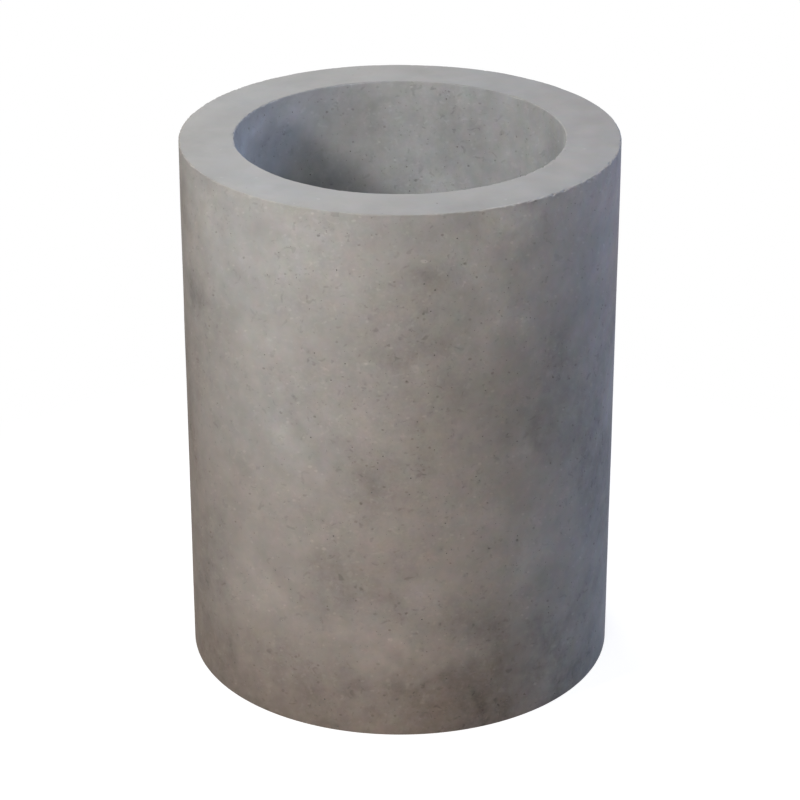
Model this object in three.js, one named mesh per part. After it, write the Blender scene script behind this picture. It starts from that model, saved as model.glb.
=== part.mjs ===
// A plain-ended precast concrete sewer pipe, standing on one end: one casting, a straight round
// barrel with a round bore right through it. Millimetres, +Z up. The origin is the middle of the
// bottom end, and +Z runs up the axis of the pipe.

import * as THREE from 'three';

// Driving dimensions.
const boreDiameter = 600; // the clear way through the pipe
const wallThickness = 100; // from the bore to the outside
const pipeLength = 1020; // from end face to end face
const outerArris = 2.5; // radius of the eased edge round the outside of each end
const boreArris = 2.5; // radius of the eased edge round the mouth of the bore

// How finely round surfaces are faceted.
const facetsRound = 160; // flat facets round the pipe
const arrisDivisions = 2; // a quarter round becomes twice as many facets

const concreteColour = 0x98938c;

const boreRadius = boreDiameter / 2;
const outerRadius = boreRadius + wallThickness;

// The half section of the wall, with x as the distance from the axis and y as the height. It runs
// up the outside, across the top end, down the bore and back across the bottom end.
function wallSection() {
  const outside = outerRadius - outerArris;
  const inside = boreRadius + boreArris;
  const quarter = Math.PI / 2;
  const section = new THREE.Path();
  section.moveTo(outside, 0);
  section.absarc(outside, outerArris, outerArris, -quarter, 0, false);
  section.lineTo(outerRadius, pipeLength - outerArris);
  section.absarc(outside, pipeLength - outerArris, outerArris, 0, quarter, false);
  section.lineTo(inside, pipeLength);
  section.absarc(inside, pipeLength - boreArris, boreArris, quarter, 2 * quarter, false);
  section.lineTo(boreRadius, boreArris);
  section.absarc(inside, boreArris, boreArris, 2 * quarter, 3 * quarter, false);
  section.closePath();
  return section;
}

// The wall turned round the axis of the pipe, which LatheGeometry takes as Y.
function turnedWall() {
  const outline = wallSection().getPoints(arrisDivisions);
  const wall = new THREE.LatheGeometry(outline, facetsRound);
  wall.rotateX(Math.PI / 2);
  return wall;
}

const concrete = new THREE.MeshStandardMaterial({
  color: concreteColour,
  roughness: 0.9,
  metalness: 0,
});

const barrel = new THREE.Mesh(turnedWall(), concrete);
barrel.name = 'concrete_pipe';

const sewerPipe = new THREE.Group();
sewerPipe.add(barrel);

export default sewerPipe;
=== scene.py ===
"""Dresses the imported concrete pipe: a casting with air holes and a worn rim, its concrete and the lamps."""

import math
import random
from typing import NamedTuple

import bpy
import numpy as np
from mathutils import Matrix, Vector, noise


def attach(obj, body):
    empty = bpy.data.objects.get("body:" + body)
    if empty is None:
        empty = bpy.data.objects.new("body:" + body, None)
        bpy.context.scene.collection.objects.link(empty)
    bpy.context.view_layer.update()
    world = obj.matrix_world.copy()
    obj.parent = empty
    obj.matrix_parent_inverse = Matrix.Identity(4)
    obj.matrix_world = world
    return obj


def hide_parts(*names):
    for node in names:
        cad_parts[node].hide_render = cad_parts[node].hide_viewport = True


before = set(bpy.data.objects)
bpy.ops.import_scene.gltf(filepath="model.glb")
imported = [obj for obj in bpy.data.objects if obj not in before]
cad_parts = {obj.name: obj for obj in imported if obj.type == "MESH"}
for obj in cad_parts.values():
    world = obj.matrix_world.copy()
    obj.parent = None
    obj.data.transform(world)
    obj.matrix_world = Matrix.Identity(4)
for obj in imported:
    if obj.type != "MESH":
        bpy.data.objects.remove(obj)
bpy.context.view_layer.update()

# ---------------------------------------------------------------- sizes, in metres, read from the frame

NODE = "concrete_pipe"
cad_points = np.array([v.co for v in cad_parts[NODE].data.vertices])
cad_radii = np.hypot(cad_points[:, 0], cad_points[:, 1])
OUTER = float(cad_radii.max())
BORE = float(cad_radii.min())
LENGTH = float(cad_points[:, 2].max())
ON_SURFACE = 1e-5  # points this near to a surface lie on it
SOLID_ARRIS = float(cad_points[cad_radii > OUTER - ON_SURFACE, 2].min())
ARRIS = 0.6 * SOLID_ARRIS  # real edges are crisper than the solid's

# ---------------------------------------------------------------- how the casting is meshed

SEED = 41
SEGMENTS = 224  # cells round the pipe
CELL = 0.0155  # length of a cell along the section
ROOMY_CELL = 0.7  # of that length: a shorter cell holds no air hole
ARRIS_STEPS = 4  # cells round each eased edge
FINER_OUTSIDE, FINER_BORE = 4, 2  # times as many cells round the pipe at the two top edges
RIM_STEPS = (0.0008, 0.0020, 0.0045, 0.0080)  # how far from such an edge the extra rings lie

# What a band of cells belongs to. It is also the index of its material.
WALL, INSIDE, END, HOLE = range(4)

# ---------------------------------------------------------------- what the mould and the trowel left

# How far the surface wanders from true, and over what distance.
WANDER = {WALL: 0.0005, INSIDE: 0.0006, END: 0.0004}
WANDER_LENGTH = 0.16
RIPPLE = 0.00012
RIPPLE_LENGTH = 0.035
GROUND_FADE = 0.03  # the wandering dies out this far above the flat end that the pipe stands on

# How far the top edges are worn back, measured at 45 degrees from the sharp corner.
WORN = 0.0008
WAVER = 0.0012
WAVER_LENGTH = 0.045
CHIP = 0.0050  # a chip is this deep for each 1 of its noise over CHIP_FROM
CHIP_FROM = 0.20
CHIP_LENGTH = 0.010
NIBBLE = 0.0070  # the same for finer ones
NIBBLE_FROM = 0.10
NIBBLE_LENGTH = 0.0055
CHIPPED_SIDES = (56, -100)  # azimuths in degrees where most chips are
CHIPPED_HALF_WIDTH = 30
CHIPPED_ELSEWHERE = 0.15  # how deep they are away from those sides, as a share
WEAR_REACH = 2 * RIM_STEPS[-1]  # points further than this inside the corner can't be worn
CHIP_PALER = 0.12  # how much paler a chip is than the skin round it
CHIP_PALEST = 0.001  # the depth from which it is as pale as that

# Where the surface is coarse: full of air holes, grains and specks.
COARSE_SIDES = {WALL: (2, 128, -112), INSIDE: (168, 35, -75), END: ()}
COARSE_HALF_WIDTH = 34
COARSE_ELSEWHERE = 0.15
COARSE_AT_SIDES = 0.65  # on top of that
COARSE_CROWDS = 0.7  # how far crowds of holes make it vary
CROWD_LENGTH = 0.11

# The share of cells that hold an air hole in the coarsest places, and the holes' sizes.
HOLE_SHARE = {WALL: 0.27, INSIDE: 0.22, END: 0.006}
SMOOTH_SHARE = 0.25  # of that, where the surface is smooth
CLUSTERED = 1.8  # how much likelier a hole is for each 1 of the noise that gathers them
CLUSTER_LEAST = 0.2  # how likely it stays between the clusters
CLUSTER_LENGTH = 0.03
HOLE_RADIUS = 0.00095  # the middle one
HOLE_SPREAD = 0.26  # of the logarithm of the radius
HOLE_LEAST, HOLE_MOST = 0.0005, 0.0017
HOLE_IN_CELL = 0.4  # the largest radius, as a share of the cell's shorter side
HOLE_MARGIN = 1.25  # radii from the middle of a hole to the edge of its cell, at least
HOLE_DEPTH = 0.85  # of its radius
HOLE_SQUASH = (0.55, 1.0)  # least and most width, as a share of the length
HOLE_RAGGED = (0.88, 1.12)  # least and most reach of a rim's corner, in radii
DETAILED_HOLE = 0.0013  # a hole with a larger radius has a rounded bowl
HOLE_SIDES, DETAILED_SIDES = 6, 9  # corners of a plain hole's rim, and of such a hole's
BOWL_REACH, BOWL_DEPTH = 0.7, 0.72  # of its middle ring of points, as shares of the radius and the depth
SMUDGED_SHARE = 0.4  # of the holes that have a dark smudge round them
SMUDGE = 0.10  # how dark the darkest is


class Ring(NamedTuple):
    """A ring of points round the pipe, with its outward normal and the band of the cells that follow it."""

    r: float
    z: float
    nr: float
    nz: float
    band: int
    count: int


def section_rings():
    """The wall's closed section as rings: up the outside, over the top end, down the bore and back below."""
    rings = []

    def straight(start, end, normal, band, finer_start=1, finer_end=1):
        """Rings from start to just before end, and closer ones near an end that has finer cells."""
        length = math.dist(start, end)
        low = RIM_STEPS[-1] if finer_start > 1 else 0.0
        high = length - RIM_STEPS[-1] if finer_end > 1 else length
        steps = round((high - low) / CELL)
        places = [(low + (high - low) * i / steps, 1) for i in range(steps)]
        if finer_start > 1:
            places = [(distance, finer_start) for distance in (0.0, *RIM_STEPS[:-1])] + places
        if finer_end > 1:
            places += [(high, 1)] + [(length - distance, finer_end) for distance in reversed(RIM_STEPS[:-1])]
        for distance, finer in places:
            r = start[0] + (end[0] - start[0]) * distance / length
            z = start[1] + (end[1] - start[1]) * distance / length
            rings.append(Ring(r, z, *normal, band, SEGMENTS * finer))

    def eased(centre_r, centre_z, from_angle, first_band, last_band, finer=1):
        """Rings round an arris, from from_angle to just before a quarter turn on."""
        for i in range(ARRIS_STEPS):
            angle = from_angle + i / ARRIS_STEPS * math.pi / 2
            nr, nz = math.cos(angle), math.sin(angle)
            band = first_band if i < ARRIS_STEPS / 2 else last_band
            rings.append(Ring(centre_r + ARRIS * nr, centre_z + ARRIS * nz, nr, nz, band, SEGMENTS * finer))

    low, high = ARRIS, LENGTH - ARRIS
    out, inner = OUTER - ARRIS, BORE + ARRIS
    quarter = math.pi / 2
    straight((OUTER, low), (OUTER, high), (1, 0), WALL, finer_end=FINER_OUTSIDE)
    eased(out, high, 0, WALL, END, FINER_OUTSIDE)
    straight((out, LENGTH), (inner, LENGTH), (0, 1), END, FINER_OUTSIDE, FINER_BORE)
    eased(inner, high, quarter, END, INSIDE, FINER_BORE)
    straight((BORE, high), (BORE, low), (-1, 0), INSIDE, finer_start=FINER_BORE)
    eased(inner, low, 2 * quarter, INSIDE, END)
    straight((inner, 0), (out, 0), (0, -1), END)
    eased(out, low, 3 * quarter, END, WALL)
    return rings


def smooth(t):
    """A number from 0 to 1, or an array of them, eased at both ends."""
    return t * t * (3 - 2 * t)


def fade(value, start, end):
    """0 at start to 1 at end, with a smooth run between."""
    return smooth(min(1.0, max(0.0, (value - start) / (end - start))))


def wave(point, length, shift=(0, 0, 0)):
    """A number of about -1 to 1 that swings over length metres. The shift keeps one pattern off another."""
    return noise.noise(point / length + Vector(shift))


def nearness(point, sides, half_width):
    """1 at the azimuths of the sides, falling off round the pipe over about half_width degrees."""
    azimuth = math.degrees(math.atan2(point.x, -point.y))
    return sum(math.exp(-(((azimuth - side + 180) % 360 - 180) / half_width) ** 2) for side in sides)


def coarseness(point, band):
    """0 where the surface is smooth, to 1 where it is full of air holes and grains."""
    near = nearness(point, COARSE_SIDES[band], COARSE_HALF_WIDTH)
    crowd = wave(point, CROWD_LENGTH, (3.1, 8.2, 0.4))
    return min(1.0, max(0.0, COARSE_ELSEWHERE + COARSE_AT_SIDES * near + COARSE_CROWDS * crowd))


def worn_edge(point, r, z, x, y):
    """point, moved back if it is beyond the worn top edge, and how deep a chip there is in it."""
    corner = (max(r - OUTER, BORE - r) + z - LENGTH) / math.sqrt(2)
    if corner < -WEAR_REACH:
        return point, 0.0
    worn = WORN + WAVER * wave(point, WAVER_LENGTH)
    chipped = nearness(point, CHIPPED_SIDES, CHIPPED_HALF_WIDTH)
    chipped = CHIPPED_ELSEWHERE + (1 - CHIPPED_ELSEWHERE) * chipped
    chip = CHIP * chipped * max(0.0, wave(point, CHIP_LENGTH) - CHIP_FROM)
    chip += NIBBLE * chipped * max(0.0, wave(point, NIBBLE_LENGTH) - NIBBLE_FROM)
    beyond = max(0.0, corner + max(0.0, worn) + chip)
    outward = 1 if 2 * r > OUTER + BORE else -1
    inward = Vector((-outward * x, -outward * y, -1)) / math.sqrt(2)
    return point + inward * beyond, chip if beyond else 0.0


def surface_point(r, z, angle, ring):
    """A point on the ring's surface, moved as mould, trowel and wear left it, and the depth of its chip."""
    x, y = math.cos(angle), math.sin(angle)
    true = Vector((r * x, r * y, z))
    wander = WANDER[ring.band] * wave(true, WANDER_LENGTH, (7.3, 1.9, 4.4))
    ripple = RIPPLE * wave(true, RIPPLE_LENGTH)
    move = (wander + ripple) * fade(z, 0.0, GROUND_FADE)
    return worn_edge(true + Vector((x * ring.nr, y * ring.nr, ring.nz)) * move, r, z, x, y)


def zip_loops(outer, inner, outer_angles, inner_angles):
    """Triangles between two loops of vertices that both run round in the same sense."""
    def unwound(angles):
        """Which angle is the least, and the angles in order from that one."""
        start = min(range(len(angles)), key=lambda i: angles[i])
        return start, [angles[(start + i) % len(angles)] for i in range(len(angles))]

    outer_start, a = unwound(outer_angles)
    inner_start, b = unwound(inner_angles)
    a, b = a + [a[0] + 2 * math.pi], b + [b[0] + 2 * math.pi]
    faces = []
    i = k = 0
    while i < len(outer) or k < len(inner):
        here = outer[(outer_start + i) % len(outer)]
        there = inner[(inner_start + k) % len(inner)]
        if k == len(inner) or (i < len(outer) and a[i + 1] <= b[k + 1]):
            faces.append((here, outer[(outer_start + i + 1) % len(outer)], there))
            i += 1
        else:
            faces.append((here, inner[(inner_start + k + 1) % len(inner)], there))
            k += 1
    return faces


class Casting:
    """The pipe's mesh while it is made: rings of cells, some of which hold an air hole."""

    def __init__(self):
        self.random = random.Random(SEED)
        self.rings = section_rings()
        self.firsts = []  # the index of each ring's first point
        self.points = []
        self.shade = []  # for each point, how much darker it is than the staining and painted light and shade alone make it
        self.sunk = []  # for each point, how deep it is in an air hole, from 0 at the rim to 1
        self.coarse = []  # for each point, how coarse the surface is
        self.faces = []
        self.materials = []
        self.rims = set()  # the edges round the air holes
        for ring in self.rings:
            self.firsts.append(len(self.points))
            for j in range(ring.count):
                point, chip = surface_point(ring.r, ring.z, 2 * math.pi * j / ring.count, ring)
                self.add_point(point, ring.band, shade=-CHIP_PALER * min(1.0, chip / CHIP_PALEST))
        for i in range(len(self.rings)):
            if self.rings[i].count == self.after(i).count:
                for j in range(self.rings[i].count):
                    self.cell(i, j)
            else:
                self.fan(i)

    def after(self, i):
        """The ring after ring i."""
        return self.rings[(i + 1) % len(self.rings)]

    def index(self, i, j):
        """The index of point j of ring i, either of which may have run past its last."""
        i %= len(self.rings)
        return self.firsts[i] + j % self.rings[i].count

    def add_point(self, point, band, shade=0.0, sunk=0.0):
        self.points.append(point)
        self.shade.append(shade)
        self.sunk.append(sunk)
        self.coarse.append(coarseness(point, band))
        return len(self.points) - 1

    def add_face(self, face, material):
        self.faces.append(face)
        self.materials.append(material)

    def fan(self, i):
        """Triangles between ring i and the next, where one has several points to each of the other's."""
        opens = self.rings[i].count < self.after(i).count
        wide, close = (i, i + 1) if opens else (i + 1, i)
        times = max(self.rings[i].count, self.after(i).count) // SEGMENTS
        for j in range(SEGMENTS):
            first, last = self.index(wide, j), self.index(wide, j + 1)
            steps = [self.index(close, j * times + n) for n in range(times + 1)]
            faces = [(first, last, steps[times // 2])]
            for n in range(times):
                faces.append((first if n < times // 2 else last, steps[n + 1], steps[n]))
            for face in faces:
                self.add_face(face if opens else face[::-1], self.rings[i].band)

    def cell(self, i, j):
        """One cell between ring i and the next: a plain quad, or an air hole with the surface round it."""
        corners = [self.index(i, j), self.index(i, j + 1), self.index(i + 1, j + 1), self.index(i + 1, j)]
        ring, follow = self.rings[i], self.after(i)
        roomy = math.dist(ring[:2], follow[:2]) > ROOMY_CELL * CELL
        if roomy and self.has_hole(corners[0], ring.band):
            self.hole(i, j, corners)
        else:
            self.add_face(tuple(corners), ring.band)

    def has_hole(self, corner, band):
        """Holes come in crowds and small clusters."""
        crowd = SMOOTH_SHARE + (1 - SMOOTH_SHARE) * self.coarse[corner]
        cluster = wave(self.points[corner], CLUSTER_LENGTH, (1.4, 2.2, 6.1))
        share = HOLE_SHARE[band] * crowd * max(CLUSTER_LEAST, 1 + CLUSTERED * cluster)
        return self.random.random() < share

    def hole(self, i, j, corners):
        """An air hole somewhere in the cell: a ragged rim and a bowl, joined to the cell's corners."""
        ring, follow = self.rings[i], self.after(i)
        across = 2 * math.pi / SEGMENTS * (ring.r + follow.r) / 2
        along = math.dist(ring[:2], follow[:2])
        size = self.random.lognormvariate(math.log(HOLE_RADIUS), HOLE_SPREAD)
        size = min(HOLE_MOST, HOLE_IN_CELL * min(across, along), max(HOLE_LEAST, size))
        margin_u, margin_v = HOLE_MARGIN * size / across, HOLE_MARGIN * size / along
        u = self.random.uniform(margin_u, 1 - margin_u)
        v = self.random.uniform(margin_v, 1 - margin_v)
        squash = self.random.uniform(*HOLE_SQUASH)
        turn = self.random.uniform(0, math.pi)
        smudge = self.random.uniform(0, SMUDGE) if self.random.random() < SMUDGED_SHARE else 0.0
        detailed = size > DETAILED_HOLE
        sides = DETAILED_SIDES if detailed else HOLE_SIDES
        turns = [2 * math.pi * k / sides for k in range(sides)]

        def place(du, dv, sunk):
            """A point du across and dv along from the hole's middle, sunk by that share of its depth."""
            pu, pv = u + du / across, v + dv / along
            angle = 2 * math.pi * (j + pu) / SEGMENTS
            r, z = ring.r + (follow.r - ring.r) * pv, ring.z + (follow.z - ring.z) * pv
            point, _ = surface_point(r, z, angle, ring)
            inward = Vector((-ring.nr * math.cos(angle), -ring.nr * math.sin(angle), -ring.nz))
            return self.add_point(point + inward * (sunk * HOLE_DEPTH * size), ring.band, smudge, sunk)

        def loop(share, sunk):
            """A ragged ring of points round the hole's middle, at that share of its radius."""
            made = []
            for a in turns:
                reach = size * share * self.random.uniform(*HOLE_RAGGED)
                du, dv = reach * math.cos(a), reach * squash * math.sin(a)
                turned_u = du * math.cos(turn) - dv * math.sin(turn)
                turned_v = du * math.sin(turn) + dv * math.cos(turn)
                made.append(place(turned_u, turned_v, sunk))
            return made

        rim = loop(1.0, 0.0)
        rim_angles = [(turn + a) % (2 * math.pi) for a in turns]
        corner_angles = []
        for cu, cv in ((0, 0), (1, 0), (1, 1), (0, 1)):
            corner_angles.append(math.atan2((cv - v) * along, (cu - u) * across) % (2 * math.pi))
        for face in zip_loops(corners, rim, corner_angles, rim_angles):
            self.add_face(face, ring.band)
        for k in range(sides):
            self.rims.add(frozenset((rim[k], rim[(k + 1) % sides])))
        bowl = rim
        if detailed:
            bowl = loop(BOWL_REACH, BOWL_DEPTH)
            for k in range(sides):
                n = (k + 1) % sides
                self.add_face((rim[k], rim[n], bowl[n], bowl[k]), HOLE)
        floor = place(0.0, 0.0, 1.0)
        for k in range(sides):
            self.add_face((bowl[k], bowl[(k + 1) % sides], floor), HOLE)

    def mesh(self, name):
        """The mesh, with its materials' indices, its sharp edges and the numbers that the materials read."""
        made = bpy.data.meshes.new(name)
        made.from_pydata([tuple(p) for p in self.points], [], self.faces)
        made.polygons.foreach_set("material_index", self.materials)
        made.polygons.foreach_set("use_smooth", [True] * len(self.faces))
        sharp = made.attributes.new("sharp_edge", "BOOLEAN", "EDGE")
        sharp.data.foreach_set("value", [frozenset(e.vertices) in self.rims for e in made.edges])
        darker, browner = stains_and_painted_light(self.points)
        numbers = {
            "darker": darker + np.array(self.shade),
            "browner": browner,
            "tinge": [TINGE + TINGE_RIGHT * p.x / OUTER for p in self.points],
            "coarse": self.coarse,
            "sunk": self.sunk,
        }
        for attribute, values in numbers.items():
            made.attributes.new(attribute, "FLOAT", "POINT").data.foreach_set("value", np.float32(values))
        made.update()
        return made


# ---------------------------------------------------------------- staining and painted light and shade, as numbers on the mesh's points

# Blotches on the outside: azimuth from the front in degrees, height, half width and half height, lean in
# degrees to the right, then how much darker (above 0) or paler (below 0) they are, and how much browner.
# Placed after maps of how a render differed from the photograph. Those on the back are made up.
# Most are staining; some, marked below, also paint light and shade.
BLOTCHES = [
    # the left side, darker and browner towards the silhouette: partly staining, partly painted shade where
    # the light falls off round the side
    (-82, 0.44, 0.110, 0.550, 0, 0.20, 0.25),
    (-78, 0.93, 0.070, 0.060, 0, 0.11, 0.14),
    (-66, 0.79, 0.070, 0.050, 0, 0.11, 0.0),
    (-64, 0.765, 0.065, 0.030, 0, 0.17, 0.0),
    (-62, 0.24, 0.080, 0.080, 0, 0.15, 0.0),
    (-78, 0.50, 0.080, 0.140, 0, 0.02, 0.10),
    (-55, 0.09, 0.070, 0.060, 0, 0.18, 0.0),
    (-47, 0.47, 0.060, 0.030, 0, 0.06, 0.0),
    # cleaner places left of the middle
    (-38, 0.88, 0.140, 0.120, 0, -0.08, -0.24),
    (-36, 0.62, 0.140, 0.110, 0, 0.0, -0.14),
    (-27, 0.89, 0.040, 0.050, 0, -0.07, 0.0),
    (-61, 0.97, 0.060, 0.040, 0, -0.21, -0.06),
    (-43, 0.95, 0.050, 0.030, 0, 0.10, 0.0),
    (-63, 0.60, 0.060, 0.030, 10, -0.10, 0.0),
    (-25, 0.99, 0.080, 0.030, 0, -0.12, -0.12),
    (-37, 0.77, 0.050, 0.030, 0, -0.08, 0.0),
    (-33, 0.57, 0.070, 0.045, 20, -0.16, -0.12),
    (-25, 0.49, 0.035, 0.040, 0, -0.10, 0.0),
    (-23, 0.35, 0.030, 0.050, 0, -0.13, 0.0),
    (-40, 0.245, 0.050, 0.040, 0, -0.19, 0.0),
    (-40, 0.16, 0.040, 0.060, 0, -0.07, 0.0),
    (-12, 0.21, 0.050, 0.040, 0, -0.20, 0.10),
    (-1, 0.15, 0.045, 0.040, 0, -0.28, 0.10),
    (-4, 0.38, 0.035, 0.020, 0, -0.09, 0.0),
    (3, 0.30, 0.030, 0.025, 0, 0.09, 0.0),
    (-40, 0.38, 0.030, 0.040, 0, -0.08, 0.0),
    (-21, 0.25, 0.030, 0.030, 0, 0.16, 0.0),
    (-16, 0.085, 0.080, 0.035, 0, 0.15, 0.0),
    (-29, 0.08, 0.030, 0.040, 0, -0.13, 0.0),
    # the dark clouds in the middle
    (7, 0.862, 0.095, 0.065, 0, 0.21, 0.06),
    (7, 0.86, 0.045, 0.022, 0, 0.05, 0.0),
    (7, 0.99, 0.065, 0.030, 0, 0.12, 0.0),
    (20, 0.795, 0.070, 0.035, 0, -0.12, 0.0),
    (-1, 0.76, 0.065, 0.035, 0, 0.15, 0.07),
    (8, 0.77, 0.040, 0.025, 0, 0.04, 0.03),
    (30, 0.71, 0.070, 0.025, 0, 0.07, 0.03),
    (15, 0.69, 0.050, 0.060, 0, 0.09, 0.08),
    (10, 0.62, 0.060, 0.040, 0, 0.11, 0.05),
    (28, 0.64, 0.040, 0.030, 0, 0.07, 0.0),
    (5, 0.54, 0.025, 0.040, 0, 0.11, 0.0),
    (-9, 0.49, 0.055, 0.065, 0, 0.19, 0.06),
    (3, 0.46, 0.040, 0.040, 0, 0.05, 0.08),
    (-13, 0.34, 0.075, 0.045, 0, 0.17, 0.10),
    (0, 0.37, 0.050, 0.050, 0, 0.09, 0.06),
    (6, 0.50, 0.110, 0.300, 0, 0.0, 0.14),
    # cleaner places right of the middle
    # the pale band at azimuth 30, palest at the top, is a painted highlight
    (30, 0.87, 0.065, 0.110, 0, -0.22, 0.0),
    (30, 1.00, 0.080, 0.045, 0, -0.40, 0.0),
    (50, 0.97, 0.080, 0.050, 0, -0.10, 0.0),
    (68, 0.98, 0.075, 0.060, 0, -0.22, 0.40),
    (10, 0.64, 0.022, 0.035, 0, -0.16, 0.0),
    # more of the painted highlight at azimuth 30
    (30, 0.575, 0.028, 0.034, 0, -0.34, 0.0),
    (28, 0.78, 0.030, 0.030, 0, -0.12, 0.0),
    (1, 0.84, 0.022, 0.022, 0, -0.10, 0.0),
    (35, 0.36, 0.055, 0.085, 0, -0.20, -0.05),
    (24, 0.43, 0.030, 0.030, 0, -0.12, 0.0),
    (26, 0.38, 0.022, 0.030, 0, 0.13, 0.0),
    (26, 0.26, 0.022, 0.030, 0, 0.10, 0.0),
    (20, 0.195, 0.055, 0.040, 0, 0.21, 0.0),
    (10, 0.28, 0.040, 0.040, 0, -0.12, 0.0),
    (9, 0.15, 0.050, 0.050, 0, -0.08, 0.04),
    # the right side, darker and bluer towards the silhouette: partly staining, partly painted shade where the
    # light falls off round the side and painted cool light from the right
    (60, 0.61, 0.130, 0.085, 0, 0.18, -0.05),
    (42, 0.67, 0.040, 0.045, 0, 0.16, 0.0),
    (73, 0.69, 0.070, 0.055, 0, 0.19, 0.05),
    (74, 0.40, 0.120, 0.130, 0, 0.28, -0.10),
    (57, 0.46, 0.060, 0.060, 0, 0.09, 0.0),
    (48, 0.54, 0.060, 0.050, 0, 0.15, -0.10),
    (61, 0.51, 0.040, 0.035, 0, 0.15, 0.0),
    (39, 0.57, 0.025, 0.060, 0, 0.17, 0.0),
    (74, 0.55, 0.060, 0.050, 0, -0.13, 0.0),
    (54, 0.83, 0.030, 0.030, 0, 0.06, 0.0),
    (60, 0.36, 0.050, 0.060, 0, 0.08, 0.0),
    (53, 0.79, 0.040, 0.035, 0, 0.09, 0.0),
    (46, 0.75, 0.045, 0.040, 0, 0.16, 0.0),
    (76, 0.24, 0.100, 0.070, 0, 0.15, 0.0),
    (57, 0.24, 0.160, 0.280, 0, 0.0, -0.38),
    (62, 0.06, 0.120, 0.100, 0, 0.0, -0.25),
    (80, 0.80, 0.080, 0.140, 0, -0.02, 0.60),
    (45, 0.82, 0.120, 0.180, 0, 0.0, -0.08),
    (67, 0.83, 0.070, 0.040, 0, -0.12, 0.0),
    # near the ground; the darker, bluer ones at the lower right are partly staining, partly painted shade
    (25, 0.11, 0.050, 0.080, 0, 0.17, 0.14),
    (12, 0.06, 0.070, 0.050, 0, 0.18, 0.22),
    (23, 0.04, 0.035, 0.040, 0, 0.18, 0.08),
    (41, 0.135, 0.050, 0.045, 0, 0.30, -0.06),
    (42, 0.26, 0.050, 0.030, 0, 0.10, 0.0),
    (66, 0.09, 0.060, 0.060, 0, 0.12, 0.0),
    (5, 0.225, 0.020, 0.020, 0, 0.10, 0.0),
    (48, 0.03, 0.080, 0.050, 0, 0.28, -0.10),
    (52, 0.19, 0.075, 0.035, 0, 0.30, -0.10),
    (3, 0.115, 0.050, 0.035, 0, 0.20, 0.08),
    (33, 0.06, 0.030, 0.060, 0, -0.06, 0.0),
    # the back
    (100, 0.80, 0.100, 0.090, 20, 0.12, 0.06),
    (112, 0.42, 0.070, 0.120, 0, 0.10, 0.04),
    (130, 0.33, 0.120, 0.090, -20, 0.13, 0.08),
    (140, 0.62, 0.060, 0.050, 0, 0.11, 0.03),
    (150, 0.76, 0.110, 0.120, 0, -0.08, -0.15),
    (172, 0.52, 0.100, 0.080, 30, 0.13, 0.08),
    (-178, 0.14, 0.120, 0.070, 0, 0.12, 0.14),
    (-165, 0.30, 0.100, 0.080, 0, -0.09, 0.0),
    (-150, 0.60, 0.060, 0.090, 0, 0.08, 0.0),
    (-140, 0.86, 0.090, 0.070, 0, 0.12, 0.06),
    (-120, 0.56, 0.100, 0.120, -30, 0.11, 0.06),
    (-102, 0.24, 0.120, 0.080, 0, -0.07, 0.05),
    (-95, 0.80, 0.070, 0.090, 0, -0.06, -0.10),
]
# The same in the bore, by the azimuth of the place on its wall. Those marked as painted shade are the rim's
# shadow low on the left, and those marked as painted light are the cool light from the right near the rim.
BORE_BLOTCHES = [
    (110, 0.95, 0.080, 0.065, 0, 0.13, 0.0),
    (175, 0.89, 0.055, 0.130, 0, -0.08, 0.0),
    (142, 0.99, 0.035, 0.030, 0, -0.08, 0.0),
    (94, 0.93, 0.050, 0.050, 0, -0.10, 0.0),
    (-127, 0.82, 0.060, 0.030, 0, -0.16, 0.0),
    (125, 0.93, 0.060, 0.060, 0, -0.09, 0.0),
    (143, 0.88, 0.050, 0.070, 0, -0.12, 0.0),
    (158, 0.93, 0.070, 0.060, 0, 0.15, 0.0),
    (160, 0.79, 0.060, 0.040, 0, -0.12, 0.0),
    (172, 0.80, 0.060, 0.040, 0, -0.08, 0.0),
    (-172, 0.87, 0.050, 0.030, 0, -0.07, 0.0),
    # these three rows are painted shade: the rim's shadow on the left of the bore, dark and bluish
    (-142, 0.82, 0.060, 0.035, 0, 0.34, -0.50),
    (-127, 0.93, 0.050, 0.030, 0, 0.14, 0.0),
    (-132, 0.88, 0.060, 0.050, 0, 0.06, -0.50),
    # these two rows are painted light: paler and bluer near the rim, where the cool light from the right
    # falls
    (-110, 0.98, 0.060, 0.022, 0, -0.22, -0.15),
    (-99, 0.94, 0.050, 0.060, 0, -0.12, -0.55),
    (135, 0.87, 0.040, 0.060, 0, 0.05, 0.0),
    (165, 0.88, 0.035, 0.030, 0, -0.08, 0.0),
    (-175, 0.965, 0.035, 0.025, 0, 0.15, 0.0),
    (-164, 0.94, 0.035, 0.040, 0, -0.07, 0.0),
    (-151, 0.88, 0.040, 0.025, 0, -0.09, 0.0),
    # painted shade: the rim's shadow
    (-155, 0.80, 0.040, 0.020, 0, 0.12, 0.0),
    (-136, 0.97, 0.035, 0.025, 0, -0.09, 0.0),
    (-152, 0.95, 0.045, 0.030, 0, 0.09, 0.0),
    # painted shade: the rim's shadow
    (-136, 0.845, 0.035, 0.025, 0, 0.12, 0.0),
    (155, 0.985, 0.040, 0.030, 0, 0.07, 0.0),
]
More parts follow.
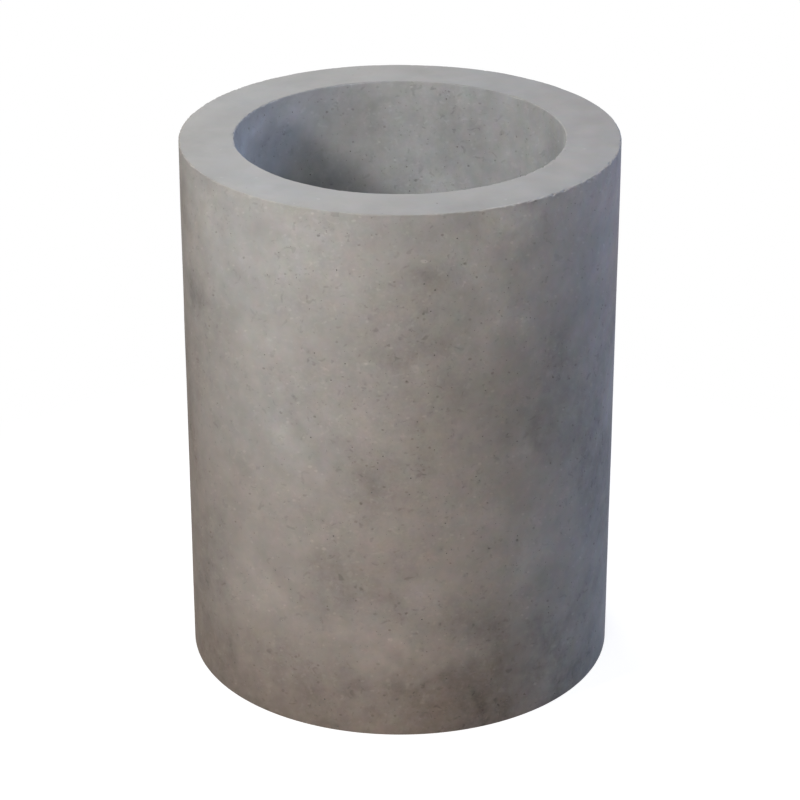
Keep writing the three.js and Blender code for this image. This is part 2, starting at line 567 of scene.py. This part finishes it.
# The same on the ends, with the distance from the pipe's axis in place of the height.
END_BLOTCHES = [
    (-82, 0.36, 0.090, 0.050, 0, 0.105, 0.0),
    (-78, 0.32, 0.080, 0.040, 0, 0.0, -0.12),
    (-50, 0.34, 0.120, 0.050, 0, -0.045, -0.24),
    (-30, 0.34, 0.080, 0.050, 0, -0.01, -0.10),
    (-125, 0.34, 0.140, 0.060, 0, -0.03, -0.18),
    (14, 0.375, 0.070, 0.030, 0, 0.12, 0.0),
    # painted cool light: a thin bluer line inside the outer edge on the right, where the rounded edge catches
    # the light from the right
    (54, 0.39, 0.100, 0.014, 0, 0.04, -0.16),
    (60, 0.34, 0.080, 0.040, 0, 0.0, 0.07),
    (86, 0.32, 0.080, 0.030, 0, -0.08, 0.0),
    (77, 0.385, 0.050, 0.020, 0, -0.08, 0.0),
    (98, 0.35, 0.180, 0.080, 0, 0.0, 0.14),
    (104, 0.37, 0.060, 0.040, 0, 0.065, 0.04),
    (128, 0.36, 0.100, 0.050, 0, -0.04, 0.09),
    (165, 0.36, 0.120, 0.050, 0, 0.06, 0.05),
]
WARP = 0.045  # how far the stains' outlines are pushed about
WARP_LENGTH = 0.10
END_WARP_ROUND, END_WARP_OUT = 0.6, 0.2  # shares of the warps on the ends, round them and away from the axis
GROUND_DARKENING_TOP = 0.24  # height at which the darker band by the ground has gone
# how much darker the surface is towards the ground
GROUND_DARKENING = 0.16
GROUND_RAGGED = 0.7  # share of the warp that pushes that height up and down
BROWN_ALL_OVER = 0.05
BROWN_BELOW = 0.56  # more by the ground than at the top
BROWN_GROUND = 0.23
BROWN_SIDE = -40  # azimuth in degrees of the side with the most of it
BROWN_FAR_SIDE = 0.15  # how much of it the other side has, as a share
BROWN_TURN = (-0.25, 0.60)  # cosines of the angles from that side where the brown is least and most
TINGE = 1.00  # how far the hue wanders at the front, and how much more at the right
TINGE_RIGHT = 0.30
RIM_SHADE = 0.05  # how dark the painted shade along the top outer edge is, which dulls the highlight there
RIM_SHADE_WIDTH = 0.0035
RIM_SHADE_SHARE = 0.6  # of it where the warp is 0
RIM_SHADE_SWING = 20  # how much more for each metre of the warp
RIM_SHADE_MOST = 1.2


def blotch_fields(blotches, radius, azimuth, height, warp_across, warp_up):
    """(darker, browner) that the blotches give, their outlines pushed about by the two warps, in metres."""
    darker = np.zeros(len(azimuth))
    browner = np.zeros(len(azimuth))
    for degrees, z, half_width, half_height, lean, dark, brown in blotches:
        turn = (azimuth - math.radians(degrees) + math.pi) % (2 * math.pi) - math.pi
        across = turn * radius + warp_across
        up = height - z + warp_up
        c, s = math.cos(math.radians(lean)), math.sin(math.radians(lean))
        reach = np.hypot((across * c - up * s) / half_width, (across * s + up * c) / half_height)
        weight = np.exp(-reach ** 2)
        darker += dark * weight
        browner += brown * weight
    return darker, browner


def cloud(points, length, shift):
    """Cloudy numbers of about -1 to 1, one for each point."""
    smoothness, gap, octaves = 0.8, 2.0, 4
    shift = Vector(shift)
    return np.array([noise.fractal(Vector(p) / length + shift, smoothness, gap, octaves) for p in points])


def stains_and_painted_light(points):
    """(darker, browner) for each point of the casting: its staining, and the light and shade painted on it.
    """
    points = np.asarray(points)
    azimuth = np.arctan2(points[:, 0], -points[:, 1])
    radius = np.hypot(points[:, 0], points[:, 1])
    height = points[:, 2]
    across = WARP * cloud(points, WARP_LENGTH, (1.7, 6.1, 2.9))
    up = WARP * cloud(points, WARP_LENGTH, (5.3, 0.8, 7.7))

    darker, browner = blotch_fields(BLOTCHES, OUTER, azimuth, height, across, up)
    ground = smooth(np.clip(1 - (height + GROUND_RAGGED * up) / GROUND_DARKENING_TOP, 0, 1))
    darker += GROUND_DARKENING * ground
    least, most = BROWN_TURN
    side = np.clip((np.cos(azimuth - math.radians(BROWN_SIDE)) - least) / (most - least), 0, 1)
    side = BROWN_FAR_SIDE + (1 - BROWN_FAR_SIDE) * side
    browner += BROWN_ALL_OVER + (BROWN_BELOW * (1 - height / LENGTH) + BROWN_GROUND * ground) * side

    bore_darker, bore_browner = blotch_fields(BORE_BLOTCHES, BORE, azimuth, height, across, up)
    middle = (OUTER + BORE) / 2
    end_warps = END_WARP_ROUND * across, END_WARP_OUT * up
    end_darker, end_browner = blotch_fields(END_BLOTCHES, middle, azimuth, radius, *end_warps)
    outside, inside = radius > OUTER - 2 * ARRIS, radius < BORE + 2 * ARRIS
    darker = np.where(outside, darker, np.where(inside, bore_darker, end_darker))
    browner = np.where(outside, browner, np.where(inside, bore_browner, end_browner))

    # A thin band of painted shade along the top outer edge, which dulls the highlight there.
    from_rim = np.maximum(OUTER - radius, LENGTH - height)
    rim_shade = RIM_SHADE * np.clip(RIM_SHADE_SHARE + RIM_SHADE_SWING * across, 0, RIM_SHADE_MOST)
    return darker + rim_shade * np.exp(-(from_rim / RIM_SHADE_WIDTH) ** 2), browner


# ---------------------------------------------------------------- the patterns of the concrete


def grey(value, warmth=0.0):
    """A linear grey, with warmth shifting it from blue towards red."""
    return (value * (1 + 0.5 * warmth), value, value * (1 - 0.5 * warmth), 1.0)


# What a stain or a grain multiplies the concrete's colour by; COOL also tints the painted cool light.
BROWN = (1.0, 0.835, 0.73, 1.0)
COOL = (0.87, 0.967, 1.09, 1.0)
PALE_GRAIN = (1.60, 1.60, 1.58, 1.0)

# The finer patterns are longer along one direction, from the front to the back and down.
GRAIN_LEAN = math.radians(-25)
DRAWN = 1.5


class Pattern(NamedTuple):
    """A noise from 0 to 1 in the concrete. The shift keeps it off the others."""

    size: float  # of its blotches, in metres
    detail: float  # how many finer layers it has
    rough: float  # how strong they are
    shift: tuple
    squash: tuple = (1, 1, 1)  # times finer along x, y and z
    warp: float = 0.0
    drawn: float = 1.0  # times longer along the grain


CLOUDS = Pattern(0.17, 2.0, 0.80, (3, 1, 2))
FILMS = Pattern(0.060, 4.0, 0.60, (2, 7, 3), (1, 1, 1.6), 0.2)
FLAKES = Pattern(0.016, 3.0, 0.60, (9, 1, 7), drawn=DRAWN)
GRIT = Pattern(0.0045, 1.5, 0.60, (1, 4, 8), drawn=DRAWN)
CRINKLES = Pattern(0.017, 1.7, 0.62, (7, 7, 2), (1, 1, 1.2), 0.6, DRAWN)
THICKNESS = Pattern(0.040, 3.0, 0.72, (5, 5, 5))
MOTTLE_SHIFT = (8, 5, 1)

# Where in a pattern's 0 to 1 its edges lie.
MOTTLE_EDGES = (0.25, 0.75)
FILM_EDGES = (0.43, 0.57)
FLAKE_EDGES = (0.60, 0.70)
HOLLOW_EDGES = (0.27, 0.385)
CRUST_EDGES = (0.61, 0.72)
THICKNESS_EDGES = (0.30, 0.70)

# What some things are in the smoothest places, and in the coarsest.
MOTTLE_DETAIL = (0.8, 2.6)
MOTTLE_SHARE = (0.70, 1.0)
MARKS_SHARE = (0.70, 1.22)
SPOTS_SHARE = (0.6, 1.25)

# The tone of the darkest and the palest of the small marks, for each 1 of their strength.
HOLLOW, CRUST = -1.06, 0.6
STAIN_THICKNESS = (0.7, 1.3)  # of the stains, where they are thin and where they are thick

# How the hue wanders: a pattern, and the red, green and blue that its high end adds and its low end takes
# away, for each 1 of how far the hue swings.
HUES = (
    (Pattern(0.13, 5.0, 0.88, (1, 9, 4)), (0.042, 0.0, -0.042)),
    (Pattern(0.030, 2.0, 0.75, (6, 2, 9)), (-0.040, 0.040, -0.040)),
    (Pattern(0.026, 2.0, 0.80, (2, 3, 5)), (0.047, 0.0, -0.047)),
)

# How high the mottling and the small marks stand, in metres for each 1 of their strength.
MOTTLE_HEIGHT = 0.00018
MARKS_HEIGHT = 0.0012
ROUGHNESS_SWING = 0.06
ROUGHNESS_EDGES = (0.1, 0.9)
SPECULAR = 0.25

# The inside of the air holes, at the rim and at the bottom, darker at the bottom with dust and painted shade.
HOLE_RIM, HOLE_BOTTOM = grey(0.36, 0.05), grey(0.13, 0.10)
HOLE_ROUGHNESS = 0.95
HOLE_SPECULAR = 0.1


class Spots(NamedTuple):
    """Small ragged spots, one to a cell. Lengths are in metres."""

    spacing: float  # of the cells
    least: float  # the smallest radius
    most: float
    ragged: float  # how far their outlines are pushed about
    edge: float  # what each fades over
    tint: tuple  # what it multiplies the colour by
    strength: float  # how far the tint goes
    height: float = 0.0
    shift: tuple = (0, 0, 0)
    squash: tuple = (1, 1, 1)
    drawn: float = 1.0


PINHOLES = Spots(0.006, 0.0006, 0.0015, 0.0016, 0.0009, grey(0.30, 0.1), 0.90, -0.0005)
PITS = Spots(
    0.010, 0.0014, 0.0038, 0.0034, 0.0014, grey(0.48, 0.1), 0.60, -0.0004, (7, 3, 1), (1, 1, 1.3), DRAWN
)
FLECKS = Spots(
    0.010, 0.0020, 0.0046, 0.0045, 0.0022, PALE_GRAIN, 0.30, 0.00015, (4, 2, 6), (1, 1, 1.5), DRAWN
)
GRAINS = Spots(
    0.030, 0.0032, 0.0070, 0.0060, 0.0026, PALE_GRAIN, 0.50, 0.0, (2, 8, 3), (1, 1, 1.5), DRAWN
)
SPOT_WOBBLE = 0.6  # how finely their outlines are pushed about: times in the largest radius
SPOT_POWER = 1.6  # the higher, the fewer of them are strong

# ---------------------------------------------------------------- the concrete

MIX_FACTOR, MIX_A, MIX_B, MIX_RESULT = 0, 6, 7, 2  # the colour sockets of a Mix node


class Nodes:
    """Short names for making and joining the shader nodes of a material or a world."""

    def __init__(self, owner):
        owner.use_nodes = True
        self.tree = owner.node_tree
        self.shader = self.tree.nodes.get("Principled BSDF")

    def add(self, kind, inputs=None, **settings):
        """A new node, with its settings made and its inputs joined or set."""
        made = self.tree.nodes.new(kind)
        for name, value in settings.items():
            setattr(made, name, value)
        for name, value in (inputs or {}).items():
            self.join(made.inputs[name], value)
        return made

    def join(self, socket, value):
        """Links the socket to value if that is a socket too, or sets it."""
        if isinstance(value, bpy.types.NodeSocket):
            self.tree.links.new(value, socket)
        else:
            socket.default_value = value

    def coords(self):
        """The place on the object, in metres."""
        return self.add("ShaderNodeTexCoord").outputs["Object"]

    def attribute(self, name):
        return self.add("ShaderNodeAttribute", attribute_name=name).outputs["Fac"]

    def math(self, operation, a, b=0.0, clamp=False):
        return self.add("ShaderNodeMath", {0: a, 1: b}, operation=operation, use_clamp=clamp).outputs[0]

    def times(self, a, b, clamp=False):
        return self.math("MULTIPLY", a, b, clamp)

    def total(self, *values):
        found = values[0]
        for value in values[1:]:
            found = self.math("ADD", found, value)
        return found

    def vector(self, operation, a, b):
        return self.add("ShaderNodeVectorMath", {0: a, 1: b}, operation=operation).outputs[0]

    def swing(self, value, amount):
        """value, which runs from 0 to 1, as a number that swings about 0."""
        return self.times(self.math("SUBTRACT", value, 0.5), amount)

    def spread(self, value, low, high, to_low=0.0, to_high=1.0):
        """value, eased from to_low at low to to_high at high, and level beyond them."""
        inputs = {"Value": value, "From Min": low, "From Max": high, "To Min": to_low, "To Max": to_high}
        return self.add("ShaderNodeMapRange", inputs, interpolation_type="SMOOTHSTEP").outputs[0]

    def colour(self, factor, a, b, blend="MIX"):
        inputs = {MIX_FACTOR: factor, MIX_A: a, MIX_B: b}
        return self.add("ShaderNodeMix", inputs, data_type="RGBA", blend_type=blend).outputs[MIX_RESULT]

    def tinted(self, colour, amount, factor):
        """colour, multiplied by factor as far as amount (0 to 1) goes."""
        return self.colour(amount, colour, self.colour(1.0, colour, factor, "MULTIPLY"))

    def hued(self, colour, amount, tinge, change):
        """colour, less a change of hue where amount is 0 and plus it where it is 1, as far as tinge goes."""
        amount = self.math("ADD", self.times(self.swing(amount, 1.0), tinge), 0.5)
        low = (*(1 - part for part in change), 1.0)
        high = (*(1 + part for part in change), 1.0)
        return self.colour(1.0, colour, self.colour(amount, low, high), "MULTIPLY")

    def place(self, pattern):
        """Where to look a pattern, or spots, up."""
        coords = self.coords()
        if pattern.drawn != 1:
            grain = {"Vector": coords, "Rotation": (GRAIN_LEAN, 0, 0), "Scale": (1, pattern.drawn, 1)}
            coords = self.add("ShaderNodeMapping", grain, vector_type="TEXTURE").outputs["Vector"]
        inputs = {"Vector": coords, "Scale": pattern.squash, "Location": pattern.shift}
        return self.add("ShaderNodeMapping", inputs).outputs["Vector"]

    def noise(self, pattern):
        inputs = {
            "Vector": self.place(pattern),
            "Scale": 1 / pattern.size,
            "Detail": pattern.detail,
            "Roughness": pattern.rough,
            "Distortion": pattern.warp,
        }
        return self.add("ShaderNodeTexNoise", inputs).outputs["Fac"]

    def spots(self, spots, share):
        """How strong the spots are, from 0 to 1. They lie in share of their cells."""
        at = self.place(spots)
        wobble = {"Vector": at, "Scale": SPOT_WOBBLE / spots.most, "Detail": 1.0}
        push = self.add("ShaderNodeTexNoise", wobble).outputs["Color"]
        push = self.vector("SUBTRACT", push, (0.5,) * 3)
        push = self.vector("MULTIPLY", push, (spots.ragged,) * 3)
        at = self.vector("ADD", at, push)
        grid = {"Vector": at, "Scale": 1 / spots.spacing, "Randomness": 1.0}
        cells = self.add("ShaderNodeTexVoronoi", grid)
        chance = self.add("ShaderNodeSeparateColor", {"Color": cells.outputs["Color"]}).outputs
        there = self.math("LESS_THAN", chance["Red"], share)
        radius = self.spread(chance["Green"], 0, 1, spots.least / spots.spacing, spots.most / spots.spacing)
        inside = self.math("SUBTRACT", radius, cells.outputs["Distance"])
        soft = self.times(inside, spots.spacing / spots.edge, clamp=True)
        strength = self.math("POWER", chance["Blue"], SPOT_POWER)
        return self.times(self.times(soft, there), strength)


class Look(NamedTuple):
    """How one face of the concrete looks. From clouds to flakes, it is how far a pattern swings the tone."""

    base: tuple
    clouds: float
    mottle: float
    grit: float
    films: float
    flakes: float
    patch: float  # size of the mottling's patches, in metres
    patch_rough: float  # how strong the finer parts of the mottling are
    marks: float  # how strong the small crinkled marks are
    hue: float  # how far the hue swings
    pinholes: float  # share of the cells that hold one, and the same for pits
    flecks: float
    grains: float
    roughness: float


def concrete(name, look):
    """Cast concrete: patterns in its tone and hue, staining with painted light and shade in it, and small
    marks and spots with some relief.
    """
    material = bpy.data.materials.new(name)
    nodes = Nodes(material)
    coarse = nodes.attribute("coarse")

    def by_coarseness(smoothest, coarsest):
        return nodes.spread(coarse, 0.0, 1.0, smoothest, coarsest)

    # The smooth places have less mottling, and least of the finest.
    detail = by_coarseness(*MOTTLE_DETAIL)
    mottle = nodes.noise(Pattern(look.patch, detail, look.patch_rough, MOTTLE_SHIFT, drawn=DRAWN))
    mottle = nodes.spread(mottle, *MOTTLE_EDGES)
    # Small crinkled marks come out of the two ends of one pattern: hollows are dark, and crusts pale.
    crinkle = nodes.noise(CRINKLES)
    hollow = nodes.spread(crinkle, *HOLLOW_EDGES, HOLLOW * look.marks, 0.0)
    crust = nodes.spread(crinkle, *CRUST_EDGES, 0.0, CRUST * look.marks)
    marks = nodes.times(nodes.math("ADD", hollow, crust), by_coarseness(*MARKS_SHARE))
    # Staining, and the light and shade painted with it, is thin in some places and thick in others.
    thickness = nodes.spread(nodes.noise(THICKNESS), *THICKNESS_EDGES, *STAIN_THICKNESS)
    tone = nodes.total(
        nodes.swing(nodes.noise(CLOUDS), look.clouds),
        nodes.times(nodes.swing(mottle, look.mottle), by_coarseness(*MOTTLE_SHARE)),
        nodes.times(nodes.swing(nodes.noise(GRIT), look.grit), coarse),
        nodes.swing(nodes.spread(nodes.noise(FILMS), *FILM_EDGES), look.films),
        nodes.times(nodes.spread(nodes.noise(FLAKES), *FLAKE_EDGES), look.flakes),
        marks,
        # the darker numbers hold the staining and the painted light and shade
        nodes.times(nodes.times(nodes.attribute("darker"), thickness), -1.0),
        1.0,
    )

    colour = (*look.base, 1.0)
    tinge = nodes.attribute("tinge")
    for pattern, change in HUES:
        colour = nodes.hued(colour, nodes.noise(pattern), tinge, [look.hue * part for part in change])
    browner = nodes.attribute("browner")
    colour = nodes.tinted(colour, nodes.times(browner, 1.0, clamp=True), BROWN)
    # bluer where browner is below 0: cool patches, and the cool light painted on the right and in the bore
    colour = nodes.tinted(colour, nodes.times(browner, -1.0, clamp=True), COOL)
    tones = nodes.add("ShaderNodeCombineColor", {"Red": tone, "Green": tone, "Blue": tone}).outputs[0]
    colour = nodes.colour(1.0, colour, tones, "MULTIPLY")

    relief = nodes.total(nodes.times(mottle, MOTTLE_HEIGHT), nodes.times(marks, MARKS_HEIGHT))
    crowd = by_coarseness(*SPOTS_SHARE)
    pitted = nodes.times(crowd, look.pinholes)
    flecked = nodes.times(crowd, look.flecks)
    for spots, share in ((PINHOLES, pitted), (PITS, pitted), (FLECKS, flecked), (GRAINS, look.grains)):
        there = nodes.spots(spots, share)
        colour = nodes.tinted(colour, nodes.times(there, spots.strength), spots.tint)
        if spots.height:
            relief = nodes.math("ADD", relief, nodes.times(there, spots.height))
    nodes.join(nodes.shader.inputs["Base Color"], colour)

    bump = nodes.add("ShaderNodeBump", {"Height": relief, "Distance": 1.0, "Strength": 1.0})
    nodes.join(nodes.shader.inputs["Normal"], bump.outputs["Normal"])
    smoothest, roughest = look.roughness - ROUGHNESS_SWING, look.roughness + ROUGHNESS_SWING
    nodes.join(nodes.shader.inputs["Roughness"], nodes.spread(mottle, *ROUGHNESS_EDGES, smoothest, roughest))
    nodes.shader.inputs["Specular IOR Level"].default_value = SPECULAR
    return material


MOULD_FACE = Look(
    base=(0.428, 0.423, 0.414),
    clouds=0.49, mottle=0.126, grit=0.13, films=0.026, flakes=0.04, patch=0.027, patch_rough=0.84,
    marks=0.145, hue=1.15, pinholes=0.17, flecks=0.33, grains=0.15, roughness=0.84,
)
BORE_FACE = Look(
    base=(0.443, 0.454, 0.463),
    clouds=0.56, mottle=0.125, grit=0.12, films=0.034, flakes=0.04, patch=0.027, patch_rough=0.84,
    marks=0.15, hue=1.0, pinholes=0.20, flecks=0.25, grains=0.06, roughness=0.84,
)
TROWELLED_END = Look(
    base=(0.399, 0.401, 0.399),
    clouds=0.34, mottle=0.16, grit=0.05, films=0.030, flakes=0.0, patch=0.060, patch_rough=0.66,
    marks=0.02, hue=0.70, pinholes=0.02, flecks=0.03, grains=0.0, roughness=0.80,
)


def air_hole():
    """The inside of the air holes: pale at the rim, and darker down in the bowl, with dust and painted shade.
    """
    material = bpy.data.materials.new("concrete_air_hole")
    nodes = Nodes(material)
    depth = nodes.attribute("sunk")
    nodes.join(nodes.shader.inputs["Base Color"], nodes.colour(depth, HOLE_RIM, HOLE_BOTTOM))
    nodes.shader.inputs["Roughness"].default_value = HOLE_ROUGHNESS
    nodes.shader.inputs["Specular IOR Level"].default_value = HOLE_SPECULAR
    return material


def make_pipe():
    mesh = Casting().mesh("cast_pipe")
    mesh.materials.append(concrete("concrete_mould_face", MOULD_FACE))
    mesh.materials.append(concrete("concrete_bore", BORE_FACE))
    mesh.materials.append(concrete("concrete_trowelled_end", TROWELLED_END))
    mesh.materials.append(air_hole())
    pipe = bpy.data.objects.new("cast_pipe", mesh)
    bpy.context.scene.collection.objects.link(pipe)
    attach(pipe, "root")
    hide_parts(NODE)
    return pipe


# ---------------------------------------------------------------- camera, floor, lamps and background

# The lens, distance, elevation and aim come from a fit to the photographed pipe's outline and rims.
CAMERA_SENSOR = 36.0  # mm wide
CAMERA_LENS = 129.0  # mm
CAMERA_DISTANCE = 5.406
CAMERA_ELEVATION = 24.98  # degrees
CAMERA_AIM = 0.4905  # height of the point that it looks at

# Each lamp: azimuth from the front and elevation in degrees, distance from the aim and width, watts, colour.
# A fit to the light on the photographed pipe gave the watts and the colours, and most places and widths.
LAMPS = {
    "key_left": (-46, 36, 2.6, 0.35, 29.1, (1.0, 0.957, 0.911)),
    "low_front": (0, 18, 3.2, 1.6, 13.7, (1.0, 0.912, 0.839)),
    "high_front": (0, 65, 2.6, 0.8, 14.3, (1.0, 0.986, 0.986)),
    "right_behind": (106, 28, 2.6, 0.7, 22.7, (0.555, 0.668, 1.0)),
    "behind": (-165, 38, 2.6, 1.2, 31.3, (1.0, 0.978, 0.930)),
}
LAMP_AIM = 0.5  # height of the point that they face

WHITE = (1.0, 1.0, 1.0, 1.0)
FLOOR_SIZE = 30.0
FLOOR_GREY = 0.5  # how pale the floor is to the light that falls on the pipe
SHADOW_GREY = 0.35  # how strongly the floor shows the pipe's shadow
SHADOW_GLOW = 0.86  # what lifts it to white again
SHADOW_FADE = (0.8, 1.3)  # distances from the axis where the shadow starts to fade out and has gone


def direction(azimuth, elevation):
    """The unit vector from the pipe towards that azimuth from the front, and elevation, in degrees."""
    a, e = math.radians(azimuth), math.radians(elevation)
    return Vector((math.sin(a) * math.cos(e), -math.cos(a) * math.cos(e), math.sin(e)))


def make_camera():
    data = bpy.data.cameras.new("camera")
    data.sensor_width = CAMERA_SENSOR
    data.lens = CAMERA_LENS
    camera = bpy.data.objects.new("camera", data)
    bpy.context.scene.collection.objects.link(camera)
    camera.location = Vector((0, 0, CAMERA_AIM)) + direction(0, CAMERA_ELEVATION) * CAMERA_DISTANCE
    camera.rotation_euler = (math.pi / 2 - math.radians(CAMERA_ELEVATION), 0, 0)
    bpy.context.scene.camera = camera


def make_lamps():
    for name, (azimuth, elevation, distance, width, watts, colour) in LAMPS.items():
        data = bpy.data.lights.new(name, "AREA")
        data.shape = "DISK"
        data.size = width
        data.energy = watts
        data.color = colour
        lamp = bpy.data.objects.new(name, data)
        towards = direction(azimuth, elevation)
        lamp.location = Vector((0, 0, LAMP_AIM)) + towards * distance
        lamp.rotation_euler = towards.to_track_quat("Z", "Y").to_euler()
        bpy.context.scene.collection.objects.link(lamp)


def seen_directly(nodes):
    """1 for the rays that see a background: from the camera, or by way of a glossy or clear surface."""
    path = nodes.add("ShaderNodeLightPath").outputs
    seen = nodes.math("MAXIMUM", path["Is Camera Ray"], path["Is Glossy Ray"])
    return nodes.math("MAXIMUM", seen, path["Is Transmission Ray"])


def make_floor():
    """A pale floor that looks white and keeps the pipe's shadow near it."""
    mesh = bpy.data.meshes.new("floor")
    half = FLOOR_SIZE / 2
    corners = [(-half, -half, 0), (half, -half, 0), (half, half, 0), (-half, half, 0)]
    mesh.from_pydata(corners, [], [(0, 1, 2, 3)])
    floor = bpy.data.objects.new("floor", mesh)
    bpy.context.scene.collection.objects.link(floor)
    material = bpy.data.materials.new("floor")
    nodes = Nodes(material)
    nodes.tree.nodes.remove(nodes.shader)

    def mixed(factor, a, b):
        return nodes.add("ShaderNodeMixShader", {0: factor, 1: a, 2: b}).outputs[0]

    plain = nodes.add("ShaderNodeBsdfDiffuse", {"Color": grey(FLOOR_GREY)}).outputs[0]
    white = nodes.add("ShaderNodeEmission", {"Color": WHITE, "Strength": 1.0}).outputs[0]
    lit = nodes.add("ShaderNodeBsdfDiffuse", {"Color": grey(SHADOW_GREY)}).outputs[0]
    glow = nodes.add("ShaderNodeEmission", {"Color": WHITE, "Strength": SHADOW_GLOW}).outputs[0]
    near = nodes.add("ShaderNodeAddShader", {0: lit, 1: glow}).outputs[0]
    away = nodes.add("ShaderNodeVectorMath", {0: nodes.coords()}, operation="LENGTH").outputs["Value"]
    seen = mixed(nodes.spread(away, *SHADOW_FADE), near, white)
    output = nodes.tree.nodes["Material Output"]
    nodes.join(output.inputs["Surface"], mixed(seen_directly(nodes), plain, seen))
    mesh.materials.append(material)


def make_background():
    """White where it is seen directly, and no light on the object from it."""
    world = bpy.data.worlds.new("world")
    bpy.context.scene.world = world
    nodes = Nodes(world)
    background = nodes.tree.nodes["Background"]
    background.inputs["Color"].default_value = WHITE
    nodes.join(background.inputs["Strength"], seen_directly(nodes))


make_camera()
make_pipe()
make_floor()
make_lamps()
make_background()
bpy.context.scene.view_settings.view_transform = "Standard"
